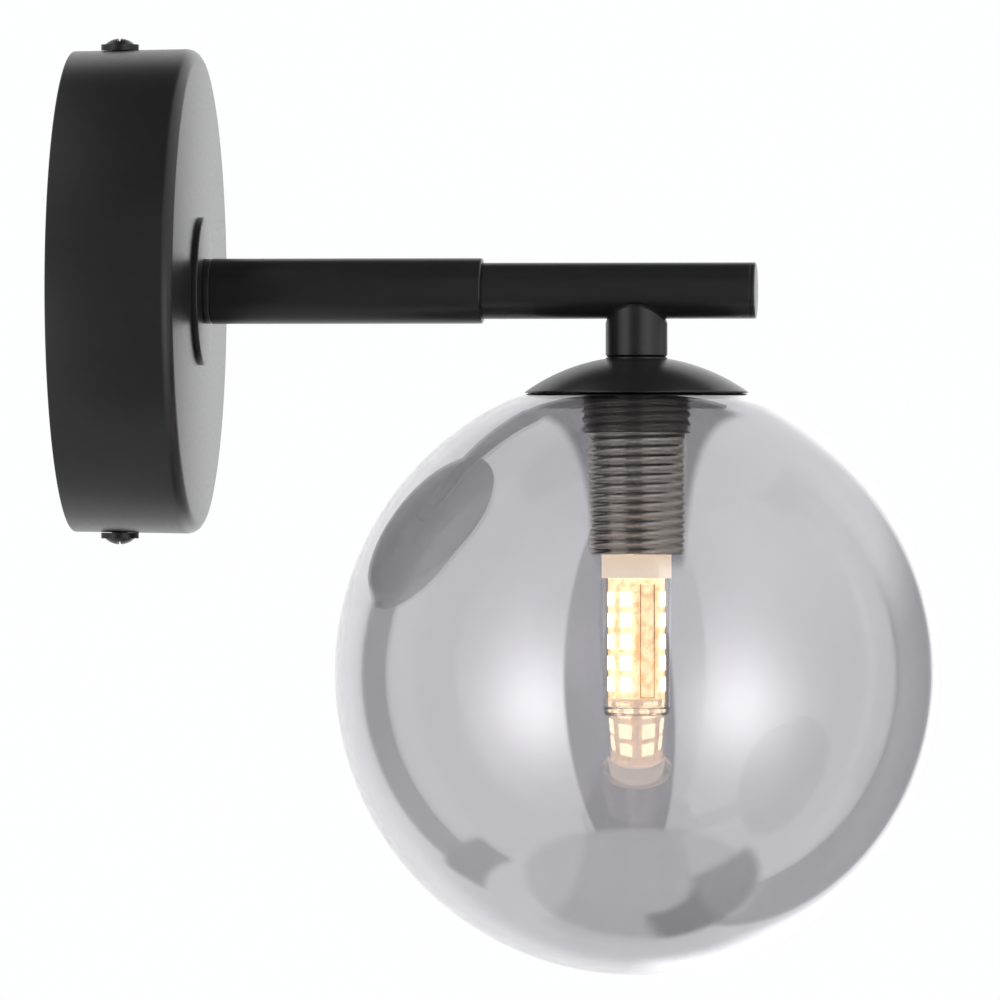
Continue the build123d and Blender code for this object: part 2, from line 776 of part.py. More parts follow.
with BuildPart() as bulb_cover:
    with BuildSketch(head_section):
        Polygon(
            (0, base_bottom_z),
            (base_r, base_bottom_z),
            (cover_end_r, cover_bottom_z),
            (0, cover_bottom_z),
            align=None,
        )
    revolve(axis=head_axis)
    fillet(bulb_cover.edges().group_by(Axis.Z)[0], cover_round)
    with BuildSketch(head_section):
        Polygon(
            (0, base_bottom_z),
            (base_r - cover_wall, base_bottom_z),
            (cover_end_r - cover_wall, cover_bottom_z + cover_end_t),
            (0, cover_bottom_z + cover_end_t),
            align=None,
        )
    revolve(axis=head_axis, mode=Mode.SUBTRACT)

with BuildPart() as led_core:
    face_turn = seam_angle + 180 / core_sides
    with BuildSketch(head_plane.offset(base_bottom_z)):
        RegularPolygon(core_apothem, core_sides, major_radius=False, rotation=face_turn)
    extrude(amount=-core_length)
    with BuildSketch(head_plane.offset(base_bottom_z)):
        RegularPolygon(core_apothem - core_wall, core_sides, major_radius=False, rotation=face_turn)
    extrude(amount=core_wall - core_length, mode=Mode.SUBTRACT)

chip_places = [
    Location((head_x, 0, base_bottom_z - chip_first - row * chip_pitch))
    * Location((0, 0, 0), (0, 0, seam_angle + column * 360 / core_sides))
    * Location((core_apothem + chip_t / 2, 0, 0))
    for column in range(1, core_sides)
    for row in range(chip_rows)
]
with BuildPart() as led_chips:
    with Locations(*chip_places):
        Box(chip_t, chip_width, chip_height)

with BuildPart() as driver_board:
    with BuildSketch(head_plane.offset(spigot_end_z + board_seat)):
        Rectangle(board_width, board_t)
    extrude(amount=-board_length)

with BuildPart() as driver_capacitor:
    with BuildSketch(Plane((head_x, board_t / 2 + capacitor_r, spigot_end_z - capacitor_drop))):
        Circle(capacitor_r)
    extrude(amount=-capacitor_length)

# --- Write one file per piece -------------------------------------------------------------
pieces = {
    "wall_bracket": wall_bracket,
    "bracket_ears": bracket_ears,
    "ear_nuts": ear_nuts,
    "canopy": canopy,
    "canopy_screws": canopy_screws,
    "terminal_block": terminal_block,
    "terminal_inserts": terminal_inserts,
    "terminal_screws": terminal_screws,
    "block_screw": block_screw,
    "earth_tag": earth_tag,
    "earth_screw": earth_screw,
    "earth_wire": earth_wire,
    "live_wire": live_wire,
    "neutral_wire": neutral_wire,
    "arm_nipple": arm_nipple,
    "lock_washer": lock_washer,
    "nipple_nut": nipple_nut,
    "arm_flange": arm_flange,
    "arm_collar": arm_collar,
    "arm_bush": arm_bush,
    "arm_sleeve": arm_sleeve,
    "arm_tube": arm_tube,
    "arm_end_cap": arm_end_cap,
    "stem": stem,
    "shade_cap": shade_cap,
    "head_nipple": head_nipple,
    "cap_washer": cap_washer,
    "lampholder_shell": lampholder_shell,
    "lampholder_insulator": lampholder_insulator,
    "lampholder_contacts": lampholder_contacts,
    "holder_screws": holder_screws,
    "neck_ring": neck_ring,
    "globe_glass": globe_glass,
    "globe_neck": globe_neck,
    "bulb_base": bulb_base,
    "bulb_pins": bulb_pins,
    "bulb_cover": bulb_cover,
    "led_core": led_core,
    "led_chips": led_chips,
    "driver_board": driver_board,
    "driver_capacitor": driver_capacitor,
}
os.makedirs("parts", exist_ok=True)
for name, piece in pieces.items():
    piece.part.label = name
    export_step(piece.part, f"parts/{name}.step")
turns_to_part = (lip_z - shell_bottom_z) / thread_pitch
print(f"globe centre z {globe_z:.2f}, lip z {lip_z:.2f}; the threads part after {turns_to_part:.2f} turns")
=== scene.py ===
import json
from math import asin, cos, pi, radians, sin, sqrt

import bmesh
import bpy
from mathutils import Matrix, Vector


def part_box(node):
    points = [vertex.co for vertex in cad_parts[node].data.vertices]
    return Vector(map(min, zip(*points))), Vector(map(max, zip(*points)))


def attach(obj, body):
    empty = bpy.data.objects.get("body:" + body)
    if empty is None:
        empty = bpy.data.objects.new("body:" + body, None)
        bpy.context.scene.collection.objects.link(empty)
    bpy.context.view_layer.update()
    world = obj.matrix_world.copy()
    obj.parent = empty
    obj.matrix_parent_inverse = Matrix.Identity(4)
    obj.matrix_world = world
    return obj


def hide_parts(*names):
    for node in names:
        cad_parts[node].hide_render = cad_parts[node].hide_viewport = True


# Globe wall sconce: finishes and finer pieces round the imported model. Sizes are in metres.

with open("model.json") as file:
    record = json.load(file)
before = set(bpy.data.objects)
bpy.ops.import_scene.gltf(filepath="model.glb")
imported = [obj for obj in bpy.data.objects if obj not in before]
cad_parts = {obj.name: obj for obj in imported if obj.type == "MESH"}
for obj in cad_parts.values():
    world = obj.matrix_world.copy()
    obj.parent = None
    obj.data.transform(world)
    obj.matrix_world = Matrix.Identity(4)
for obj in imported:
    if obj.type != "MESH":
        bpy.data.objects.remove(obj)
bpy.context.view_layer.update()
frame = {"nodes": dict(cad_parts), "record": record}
mm = 0.001

# --- Sizes of the pieces that are made again here ------------------------------------------
head_x = 139.6 * mm
canopy_r = 60.0 * mm
canopy_rear_r = 59.5 * mm  # the rim on the wall is a little narrower than the front
canopy_depth = 31.2 * mm
canopy_wall = 1.2 * mm
canopy_front_round = 3.0 * mm
canopy_rim_round = 0.35 * mm
coat_edge = 0.22 * mm  # how a coated edge is rounded
joint_edge = 0.1 * mm  # how an edge that meets another piece is rounded

flange_edge = 0.35 * mm
sleeve_bore = 7.05 * mm
sleeve_edge = 0.45 * mm
tube_bore = 5.95 * mm
tube_edge = 0.15 * mm
end_plug_r = 5.9 * mm
end_plate = 1.2 * mm
end_plate_back_edge = 0.12 * mm
end_plate_edge = 0.4 * mm

thread_pitch = 2.3 * mm
thread_depth = 0.6 * mm
shell_bore = 11.15 * mm
shell_plate = 3.0 * mm
nipple_hole = 5.05 * mm

globe_r = 74.5 * mm
globe_wall = 2.0 * mm
lip_r = 15.5 * mm
lip_bore = 13.7 * mm
shoulder_r = 36.0 * mm
shoulder_arc = (shoulder_r - lip_r) * globe_r / shoulder_r

cap_sphere_r = 47.4 * mm
cap_wall = 1.0 * mm
cap_rim_r = 27.5 * mm
cap_seat_r = 7.6 * mm
cap_crown = 0.3 * mm  # how far the cap's sphere would stand above its flat seat
cap_rim_width = 2.0 * mm
cap_rim_height = 0.35 * mm
cap_rim_round = 0.12 * mm

cover_wall = 0.7 * mm
cover_end = 1.9 * mm
cover_end_r = 8.2 * mm
board_apothem = 6.5 * mm
board_sides = 8
seam_angle = -62.0
chip_size = Vector((0.6, 2.8, 3.5)) * mm
chip_rows = 5
chip_pitch = 5.25 * mm
chip_first = 5.1 * mm

camera_turn = radians(5.46)  # how far the camera stands round towards the arm's end
wheel = 128  # steps round a turned piece
fine_wheel = 224  # steps round the globe


# --- Making pieces -------------------------------------------------------------------------
def keep(name, bm, body, slot, *nodes, smooth=50.0):
    """Makes a finished bmesh into a piece that rides on a body and stands for some nodes."""
    mesh = bpy.data.meshes.new(name)
    bm.to_mesh(mesh)
    bm.free()
    mesh.shade_smooth()
    mesh.set_sharp_from_angle(angle=radians(smooth))
    piece = bpy.data.objects.new(name, mesh)
    bpy.context.scene.collection.objects.link(piece)
    mesh.materials.append(finishes[slot])
    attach(piece, body)
    if nodes:
        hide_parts(*nodes)
    return piece


def outline(bm, points):
    """A chain of edges through (radius, height) points, which a turning then spins."""
    verts = [bm.verts.new((r, 0, h)) for r, h in points]
    for start, end in zip(verts, verts[1:]):
        bm.edges.new((start, end))
    return verts


def round_corners(bm, verts, amount, segments=4):
    """Rounds some corners of an outline before it is turned."""
    bmesh.ops.bevel(
        bm, geom=verts, offset=amount, segments=segments, profile=0.5, affect="VERTICES", material=-1
    )


def arc(bm, start, centre, angle, steps):
    """Carries a vertex of an outline round a centre, and returns the last vertex."""
    made = bmesh.ops.spin(
        bm, geom=[start], cent=centre, axis=(0, 1, 0), angle=angle, steps=steps, use_merge=False
    )
    return made["geom_last"][0]


def turn(bm, steps=wheel):
    """Turns the outline in a bmesh a full circle round Z and closes its seam and its poles."""
    bmesh.ops.spin(
        bm,
        geom=bm.verts[:] + bm.edges[:],
        cent=(0, 0, 0),
        axis=(0, 0, 1),
        angle=2 * pi,
        steps=steps,
        use_merge=True,
    )
    bmesh.ops.remove_doubles(bm, verts=bm.verts, dist=0.000001)
    bmesh.ops.dissolve_degenerate(bm, edges=bm.edges, dist=0.0000005)
    bmesh.ops.recalc_face_normals(bm, faces=bm.faces)


def turned(name, points, body, slot, *nodes, rounds=(), along_arm=False, at=None):
    """A turned piece from (radius, height) points; rounds maps corners to their radii."""
    bm = bmesh.new()
    verts = outline(bm, points)
    bm.edges.new((verts[-1], verts[0]))
    groups = {}
    for index, amount in rounds:
        groups.setdefault(amount, []).append(verts[index])
    for amount, corners in groups.items():
        round_corners(bm, corners, amount)
    turn(bm)
    if along_arm:
        bmesh.ops.rotate(bm, verts=bm.verts, cent=(0, 0, 0), matrix=Matrix.Rotation(pi / 2, 3, "Y"))
    if at:
        bmesh.ops.translate(bm, verts=bm.verts, vec=at)
    return keep(name, bm, body, slot, *nodes)


# --- Finishes ------------------------------------------------------------------------------
def shader(name, base, rough, **sockets):
    """A finish with its even values set on the shader itself."""
    finish = bpy.data.materials.new(name)
    finish.use_nodes = True
    surface = finish.node_tree.nodes["Principled BSDF"]
    surface.inputs["Base Color"].default_value = (*base, 1)
    surface.inputs["Roughness"].default_value = rough
    for socket, value in sockets.items():
        surface.inputs[socket.replace("_", " ")].default_value = value
    return finish


def add(finish, kind, **values):
    """A node of a finish, with its plain values set."""
    node = finish.node_tree.nodes.new(kind)
    for key, value in values.items():
        if hasattr(node, key):
            setattr(node, key, value)
        else:
            node.inputs[key.replace("_", " ")].default_value = value
    return node


def join(finish, output, socket):
    finish.node_tree.links.new(output, socket)


def surface_of(finish):
    return finish.node_tree.nodes["Principled BSDF"]


def grain(finish, scale, detail=3.0):
    """Even noise through the piece."""
    place = add(finish, "ShaderNodeTexCoord")
    noise = add(finish, "ShaderNodeTexNoise", Scale=scale, Detail=detail)
    join(finish, place.outputs["Object"], noise.inputs["Vector"])
    return noise.outputs["Fac"]


def vary(finish, socket, pattern, low, high, start=0.3, stop=0.7):
    """Lets a pattern move a number of the shader between two values."""
    moved = add(finish, "ShaderNodeMapRange")
    for name, value in zip(("From Min", "From Max", "To Min", "To Max"), (start, stop, low, high)):
        moved.inputs[name].default_value = value
    join(finish, pattern, moved.inputs["Value"])
    join(finish, moved.outputs["Result"], surface_of(finish).inputs[socket])


def tint(finish, pattern, colours, socket="Base Color", sharp=False):
    """Lets a pattern move a colour through a few stops of (position, colour)."""
    ramp = add(finish, "ShaderNodeValToRGB")
    stops = ramp.color_ramp.elements
    if sharp:
        ramp.color_ramp.interpolation = "CONSTANT"
    stops[0].position, stops[0].color = colours[0][0], (*colours[0][1], 1)
    stops[1].position, stops[1].color = colours[-1][0], (*colours[-1][1], 1)
    for position, colour in colours[1:-1]:
        stops.new(position).color = (*colour, 1)
    join(finish, pattern, ramp.inputs["Fac"])
    join(finish, ramp.outputs["Color"], surface_of(finish).inputs[socket])


def relief(finish, pattern, height, strength=1.0):
    """A fine relief of the given height."""
    bump = add(finish, "ShaderNodeBump", Strength=strength, Distance=height)
    join(finish, pattern, bump.inputs["Height"])
    join(finish, bump.outputs["Normal"], surface_of(finish).inputs["Normal"])


def from_head_axis(finish):
    """How far a point of the piece lies from the upright axis of the lampholder."""
    place = add(finish, "ShaderNodeTexCoord")
    flat = add(finish, "ShaderNodeMapping")
    flat.inputs["Location"].default_value = (-head_x, 0, 0)
    flat.inputs["Scale"].default_value = (1, 1, 0)
    length = add(finish, "ShaderNodeVectorMath", operation="LENGTH")
    join(finish, place.outputs["Object"], flat.inputs["Vector"])
    join(finish, flat.outputs["Vector"], length.inputs[0])
    return length.outputs["Value"]


def span(finish, value, start, stop):
    """A number that runs smoothly from 0 to 1 between two values."""
    made = add(finish, "ShaderNodeMapRange", interpolation_type="SMOOTHSTEP")
    made.inputs["From Min"].default_value = start
    made.inputs["From Max"].default_value = stop
    join(finish, value, made.inputs["Value"])
    return made.outputs["Result"]


def black_coat():
    finish = shader("satin_black_coat", (0.010, 0.010, 0.010), 0.32)
    vary(finish, "Roughness", grain(finish, 900), 0.30, 0.34)
    tint(finish, grain(finish, 300), [(0.3, (0.0095, 0.0095, 0.0098)), (0.7, (0.0115, 0.0114, 0.0114))])
    relief(finish, grain(finish, 2600, 2), 0.000012, 0.35)
    return finish


def plated(name, dark, light, rough, scale):
    """A plated or turned metal: its colour and polish wander a little."""
    finish = shader(name, light, rough, Metallic=1.0)
    marks = grain(finish, scale, 4)
    tint(finish, grain(finish, scale / 6), [(0.3, dark), (0.7, light)])
    vary(finish, "Roughness", marks, rough - 0.07, rough + 0.08)
    relief(finish, marks, 0.000008, 0.3)
    return finish


def moulded(name, dark, light, rough, **sockets):
    """A moulded plastic, rubber or glaze with a fine skin."""
    finish = shader(name, light, rough, **sockets)
    tint(finish, grain(finish, 160), [(0.3, dark), (0.7, light)])
    vary(finish, "Roughness", grain(finish, 420), rough - 0.05, rough + 0.06)
    relief(finish, grain(finish, 3000, 2), 0.000008, 0.3)
    return finish


def rolled_nickel():
    """Warm nickel, painted darker in the thread's grooves and lighter on its crests: painted shade in the
    grooves and a painted highlight on the crests.
    """
    finish = shader("rolled_nickel", (0.80, 0.73, 0.62), 0.16, Metallic=1.0)
    # Painted shade and highlight: by distance from the axis, the colour runs from dark in the grooves to
    # light on the crests.
    tint(
        finish,
        span(finish, from_head_axis(finish), 11.76 * mm, 12.32 * mm),
        [(0.0, (0.70, 0.64, 0.54)), (0.45, (0.84, 0.77, 0.66)), (1.0, (0.96, 0.90, 0.80))],
    )
    vary(finish, "Roughness", grain(finish, 900, 4), 0.12, 0.20)
    relief(finish, grain(finish, 400, 2), 0.00001, 0.2)
    return finish


def smoked_glass():
    """Grey mirror-like glass, painted darker round the neck: painted shade under the dome."""
    finish = shader(
        "smoked_mirror_glass", (0.79, 0.783, 0.805), 0.0, Metallic=0.225, IOR=1.5, Transmission_Weight=1.0
    )
    place = add(finish, "ShaderNodeTexCoord")
    parts = add(finish, "ShaderNodeSeparateXYZ")
    join(finish, place.outputs["Object"], parts.inputs[0])
    # Painted shade: the glass is painted darker near the neck, under the dome.
    neck_shade_mask = add(finish, "ShaderNodeMath", operation="MULTIPLY")
    join(finish, span(finish, parts.outputs["Z"], -42 * mm, -35 * mm), neck_shade_mask.inputs[0])
    join(finish, span(finish, from_head_axis(finish), 30 * mm, 14.8 * mm), neck_shade_mask.inputs[1])
    # Random blotches of tone, plus the painted shade round the neck.
    blotch_and_neck_shade = add(finish, "ShaderNodeMath", operation="MULTIPLY_ADD")
    blotch_and_neck_shade.inputs[1].default_value = 0.12
    join(finish, grain(finish, 9, 1), blotch_and_neck_shade.inputs[0])
    join(finish, neck_shade_mask.outputs[0], blotch_and_neck_shade.inputs[2])
    tint(
        finish,
        blotch_and_neck_shade.outputs[0],
        [
            (0.03, (0.80, 0.793, 0.815)),
            (0.09, (0.78, 0.772, 0.795)),
            (0.5, (0.60, 0.58, 0.57)),
            (1.0, (0.46, 0.43, 0.41)),
        ],
    )
    relief(finish, grain(finish, 14, 1), 0.0001, 0.05)
    return finish


def bulb_clear():
    finish = shader("clear_tube", (1.0, 0.97, 0.93), 0.03, IOR=1.45, Transmission_Weight=1.0)
    vary(finish, "Roughness", grain(finish, 300), 0.02, 0.06)
    relief(finish, grain(finish, 260, 1), 0.00002, 0.15)
    return finish


def led_board():
    """White board with darker copper lands; its glow is painted light from the chips round it, as the
    board itself is no lamp.
    """
    # Painted light: the board is given a glow of its own, standing in for the chips' light on it.
    finish = shader("led_board", (0.86, 0.72, 0.52), 0.5, Emission_Strength=2.4)
    tint(
        finish,
        grain(finish, 500, 4),
        [(0.36, (0.80, 0.40, 0.17)), (0.5, (1.0, 0.66, 0.38)), (0.66, (1.0, 0.74, 0.48))],
        socket="Emission Color",
    )
    tint(finish, grain(finish, 420, 4), [(0.38, (0.74, 0.56, 0.36)), (0.5, (0.9, 0.78, 0.6))])
    relief(finish, grain(finish, 900, 2), 0.00004, 0.4)
    return finish


def led_chip():
    finish = shader("lit_chip", (1.0, 0.78, 0.42), 0.35, Emission_Strength=7.0)
    tint(
        finish,
        grain(finish, 700, 2),
        [(0.3, (1.0, 0.72, 0.40)), (0.7, (1.0, 0.82, 0.56))],
        socket="Emission Color",
    )
    relief(finish, grain(finish, 1800, 2), 0.00002, 0.3)
    return finish


def bulb_base():
    # Painted light: the collar glows warm, as if lit by the chips, though it is no lamp.
    finish = moulded("bulb_collar_painted_glow", (0.84, 0.74, 0.60), (0.92, 0.85, 0.74), 0.32, Emission_Strength=1.3)
    surface_of(finish).inputs["Emission Color"].default_value = (1.0, 0.80, 0.60, 1)
    return finish


def earth_sleeve():
    """Green insulation with a yellow stripe that winds round it."""
    finish = shader("green_and_yellow_sleeve", (0.1, 0.4, 0.08), 0.4)
    place = add(finish, "ShaderNodeTexCoord")
    stripes = add(finish, "ShaderNodeTexWave", Scale=160.0, Distortion=0.0)
    stripes.bands_direction = "DIAGONAL"
    join(finish, place.outputs["Object"], stripes.inputs["Vector"])
    tint(
        finish,
        stripes.outputs["Fac"],
        [(0.0, (0.06, 0.30, 0.07)), (0.5, (0.75, 0.62, 0.05))],
        sharp=True,
    )
    relief(finish, grain(finish, 2000, 2), 0.000008, 0.3)
    return finish


finishes = {
    "black_coat": black_coat(),
    "zinc_steel": plated("zinc_plate", (0.50, 0.52, 0.55), (0.68, 0.69, 0.70), 0.30, 900),
    "nickel": rolled_nickel(),
    "brass": plated("turned_brass", (0.62, 0.44, 0.18), (0.84, 0.66, 0.34), 0.28, 800),
    "ceramic": moulded("white_glaze", (0.80, 0.78, 0.73), (0.88, 0.87, 0.83), 0.22, Coat_Weight=0.4),
    "smoked_glass": smoked_glass(),
    "bulb_clear": bulb_clear(),
    "bulb_base": bulb_base(),
    "led_board": led_board(),
    "led_chip": led_chip(),
    "terminal_plastic": moulded("terminal_nylon", (0.70, 0.69, 0.64), (0.82, 0.81, 0.77), 0.42),
    "silicone": moulded("silicone_pad", (0.55, 0.55, 0.53), (0.70, 0.70, 0.68), 0.45),
    "wire_brown": moulded("brown_sleeve", (0.13, 0.055, 0.025), (0.20, 0.085, 0.04), 0.38),
    "wire_blue": moulded("blue_sleeve", (0.03, 0.09, 0.30), (0.05, 0.15, 0.42), 0.38),
    "wire_earth": earth_sleeve(),
    "circuit_board": moulded("driver_laminate", (0.02, 0.12, 0.05), (0.04, 0.20, 0.09), 0.35),
    "capacitor": moulded("capacitor_skin", (0.02, 0.02, 0.025), (0.05, 0.05, 0.06), 0.3),
}
for row in frame["record"]["subparts"]:
    mesh = frame["nodes"][row["node"]].data
    mesh.materials.clear()
    mesh.materials.append(finishes[row["material_slot"]])


# --- Canopy and arm ------------------------------------------------------------------------
# Known fault: canopy_cover has no holes for its two rim screws, and thin_arm has no hole on its
# underside for the head's nipple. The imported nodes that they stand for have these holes.
def wall_piece(name, node, points, rounds):
    return turned(name, points, "fixture", "black_coat", node, rounds=rounds, along_arm=True)


inner_round = canopy_front_round - canopy_wall
wall_piece(
    "canopy_cover",
    "canopy",
    [
        (nipple_hole, canopy_depth),
        (canopy_r, canopy_depth),
        (canopy_rear_r, 0),
        (canopy_rear_r - canopy_wall, 0),
        (canopy_r - canopy_wall, canopy_depth - canopy_wall),
        (nipple_hole, canopy_depth - canopy_wall),
    ],
    [(1, canopy_front_round), (2, canopy_rim_round), (3, canopy_rim_round), (4, inner_round)],
)


def ring_along_arm(name, node, bore, edge_start, edge_end):
    """A plain ring or tube of the arm, with its coated edges rounded."""
    low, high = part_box(node)
    r = high.y
    return wall_piece(
        name,
        node,
        [(bore, low.x), (r, low.x), (r, high.x), (bore, high.x)],
        [(1, edge_start), (2, edge_end)],
    )


ring_along_arm("wall_flange", "arm_flange", nipple_hole, joint_edge, flange_edge)
ring_along_arm("collar_ring", "arm_collar", nipple_hole, coat_edge, coat_edge)
ring_along_arm("thick_sleeve", "arm_sleeve", sleeve_bore, coat_edge, sleeve_edge)
ring_along_arm("thin_arm", "arm_tube", tube_bore, joint_edge, tube_edge)
plug_low, plug_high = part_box("arm_end_cap")
wall_piece(
    "arm_end_plate",
    "arm_end_cap",
    [
        (0, plug_low.x),
        (end_plug_r, plug_low.x),
        (end_plug_r, plug_high.x - end_plate),
        (plug_high.y, plug_high.x - end_plate),
        (plug_high.y, plug_high.x),
        (0, plug_high.x),
    ],
    [(3, end_plate_back_edge), (4, end_plate_edge)],
)

# --- Dome ----------------------------------------------------------------------------------
seat_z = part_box("stem")[0].z
cap_centre = seat_z + cap_crown - cap_sphere_r
cap_rim_z = cap_centre + sqrt(cap_sphere_r**2 - cap_rim_r**2)
dome = bmesh.new()
under_r = cap_sphere_r - cap_wall
under_seat_r = cap_seat_r + cap_wall
under_rim_r = cap_rim_r - cap_rim_width
first = dome.verts.new((cap_seat_r, 0, cap_centre + sqrt(cap_sphere_r**2 - cap_seat_r**2)))
outer_end = arc(
    dome, first, (0, 0, cap_centre), asin(cap_rim_r / cap_sphere_r) - asin(cap_seat_r / cap_sphere_r), 40
)
inner_first = dome.verts.new((under_seat_r, 0, cap_centre + sqrt(under_r**2 - under_seat_r**2)))
inner_end = arc(
    dome,
    inner_first,
    (0, 0, cap_centre),
    asin(under_rim_r / under_r) - asin(under_seat_r / under_r),
    32,
)
lip_low = dome.verts.new((cap_rim_r, 0, cap_rim_z - cap_rim_height))
dome.edges.new((outer_end, lip_low))
dome.edges.new((lip_low, inner_end))
seat = outline(
    dome,
    [
        (cap_seat_r, seat_z),
        (nipple_hole, seat_z),
        (nipple_hole, seat_z - cap_wall),
        (under_seat_r, seat_z - cap_wall),
    ],
)
dome.edges.new((first, seat[0]))
dome.edges.new((seat[-1], inner_first))
round_corners(dome, [outer_end, lip_low], cap_rim_round, 3)
turn(dome, 160)
bmesh.ops.translate(dome, verts=dome.verts, vec=(head_x, 0, 0))
keep("dome", dome, "fixture", "black_coat", "shade_cap", smooth=40)

# --- Threaded lampholder -------------------------------------------------------------------
# Known fault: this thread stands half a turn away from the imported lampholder's, so its crests cut
# into the thread of the globe's neck by up to 0.25 mm. Half a pitch of height would mend it.
shell_low, shell_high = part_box("lampholder_shell")
thread_r = (shell_high.y - shell_low.y) / 2
thread_mid = thread_r - thread_depth / 2
ridge_steps = 12  # steps across one ridge of the thread
turns_of_thread = round((shell_high.z - shell_low.z) / thread_pitch) + 2
steps_per_turn = 72
holder = bmesh.new()
outline(
    holder,
    [
        (
            thread_mid + thread_depth / 2 * cos(2 * pi * step / ridge_steps),
            shell_low.z - 1.5 * thread_pitch + thread_pitch * step / ridge_steps,
        )
        for step in range(ridge_steps + 1)
    ],
)
bmesh.ops.spin(
    holder,
    geom=holder.verts[:] + holder.edges[:],
    cent=(0, 0, 0),
    axis=(0, 0, 1),
    dvec=(0, 0, thread_pitch / steps_per_turn),
    angle=2 * pi * turns_of_thread,
    steps=turns_of_thread * steps_per_turn,
    use_merge=False,
)
bmesh.ops.remove_doubles(holder, verts=holder.verts, dist=0.000004)
for height, facing in ((shell_low.z, -1), (shell_high.z, 1)):
    bmesh.ops.bisect_plane(
        holder,
        geom=holder.verts[:] + holder.edges[:] + holder.faces[:],
        dist=0.0000005,
        plane_co=(0, 0, height),
        plane_no=(0, 0, facing),
        clear_outer=True,
    )
bmesh.ops.remove_doubles(holder, verts=holder.verts, dist=0.000002)


def open_loop(bm, height):
    """The open edges of a tube at one height."""
    return [
        e for e in bm.edges if e.is_boundary and all(abs(v.co.z - height) < 0.02 * mm for v in e.verts)
    ]


def step_in(bm, edges, radius, height):
    """Draws an open end of a tube to a new radius and height, and returns its new edges."""
    made = bmesh.ops.extrude_edge_only(bm, edges=edges)["geom"]
    for v in (g for g in made if isinstance(g, bmesh.types.BMVert)):
        flat = Vector((v.co.x, v.co.y, 0)).normalized() * radius
        v.co = Vector((flat.x, flat.y, height))
    return [g for g in made if isinstance(g, bmesh.types.BMEdge) and g.is_boundary]


mouth = open_loop(holder, shell_low.z)
mouth = step_in(holder, mouth, thread_mid - thread_depth, shell_low.z)
mouth = step_in(holder, mouth, shell_bore, shell_low.z + 0.25 * mm)
mouth = step_in(holder, mouth, shell_bore, shell_high.z - shell_plate)
mouth = step_in(holder, mouth, nipple_hole, shell_high.z - shell_plate)
top = open_loop(holder, shell_high.z)
top = step_in(holder, top, nipple_hole, shell_high.z)
bmesh.ops.bridge_loops(holder, edges=mouth + top)
bmesh.ops.recalc_face_normals(holder, faces=holder.faces)
bmesh.ops.translate(holder, verts=holder.verts, vec=(head_x, 0, 0))
keep("threaded_holder", holder, "fixture", "nickel", "lampholder_shell", smooth=60)

# --- Globe ---------------------------------------------------------------------------------
globe_low, globe_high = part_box("globe_glass")
lip_z = globe_high.z
globe_z = globe_low.z + globe_r
shoulder_z = lip_z - shoulder_arc
shoulder_turn = asin(shoulder_r / globe_r)
globe = bmesh.new()
lip = outline(
    globe, [(lip_r, lip_z - globe_wall), (lip_bore, lip_z - globe_wall), (lip_bore, lip_z), (lip_r, lip_z)]
)
for start in (lip[-1], lip[0]):
    side = arc(globe, start, (lip_r, 0, shoulder_z), shoulder_turn, 14)
    pole = arc(globe, side, (0, 0, globe_z), pi - shoulder_turn, 84)
    pole.co.x = 0
turn(globe, fine_wheel)
bmesh.ops.translate(globe, verts=globe.verts, vec=(head_x, 0, 0))
keep("globe_bowl", globe, "globe", "smoked_glass", "globe_glass")

# --- Bulb ----------------------------------------------------------------------------------
cover_low, cover_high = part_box("bulb_cover")
cover_r = (cover_high.y - cover_low.y) / 2
head = (head_x, 0, 0)
turned(
    "bulb_tube",
    [
        (0, cover_low.z),
        (cover_end_r, cover_low.z),
        (cover_r, cover_high.z),
        (cover_r - cover_wall, cover_high.z),
        (cover_end_r - cover_wall, cover_low.z + cover_end),
        (0, cover_low.z + cover_end),
    ],
    "bulb",
    "bulb_clear",
    "bulb_cover",
    rounds=[(1, 1.3 * mm), (4, 0.5 * mm)],
    at=head,
)


def around_board(column, height, out):
    """Places something on a face of the eight-sided board: turned to it, at a height."""
    angle = radians(seam_angle + column * 360 / board_sides)
    turned_to = Matrix.Rotation(angle, 4, "Z")
    return Matrix.Translation((head_x, 0, height)) @ turned_to @ Matrix.Translation((out, 0, 0))


def chip_shape():
    """One chip that lies at the origin, faces +X and has a shallow phosphor well."""
    chip = bmesh.new()
    bmesh.ops.create_cube(chip, size=1, matrix=Matrix.Diagonal((*chip_size, 1)))
    bmesh.ops.bevel(
        chip, geom=chip.edges[:], offset=0.12 * mm, segments=2, profile=0.5, affect="EDGES", material=-1
    )
    front = max(chip.faces, key=lambda face: face.calc_center_median().x)
    bmesh.ops.inset_individual(chip, faces=[front], thickness=0.3 * mm, depth=-0.08 * mm)
    mesh = bpy.data.meshes.new("chip")
    chip.to_mesh(mesh)
    chip.free()
    return mesh


chips = bmesh.new()
chip_mesh = chip_shape()
for column in range(1, board_sides):
    for row in range(chip_rows):
        before = len(chips.verts)
        chips.from_mesh(chip_mesh)
        chips.verts.ensure_lookup_table()
        bmesh.ops.transform(
            chips,
            matrix=around_board(
                column, cover_high.z - chip_first - row * chip_pitch, board_apothem + chip_size.x / 2
            ),
            verts=chips.verts[before:],
        )
bpy.data.meshes.remove(chip_mesh)
keep("lit_chips", chips, "bulb", "led_chip", "led_chips", smooth=35)


def board_bar(name, slot, across, width, height, top, thickness):
    """A thin upright bar on the board's bare face, set off sideways from its middle."""
    bar = bmesh.new()
    bmesh.ops.create_cube(bar, size=1, matrix=Matrix.Diagonal((thickness, width, height, 1)))
    bmesh.ops.bevel(
        bar, geom=bar.edges[:], offset=thickness / 4, segments=2, profile=0.5, affect="EDGES", material=-1
    )
    bmesh.ops.transform(
        bar,
        matrix=around_board(0, cover_high.z - top - height / 2, board_apothem + thickness / 2)
        @ Matrix.Translation((0, across, 0)),
        verts=bar.verts,
    )
    keep(name, bar, "bulb", slot)


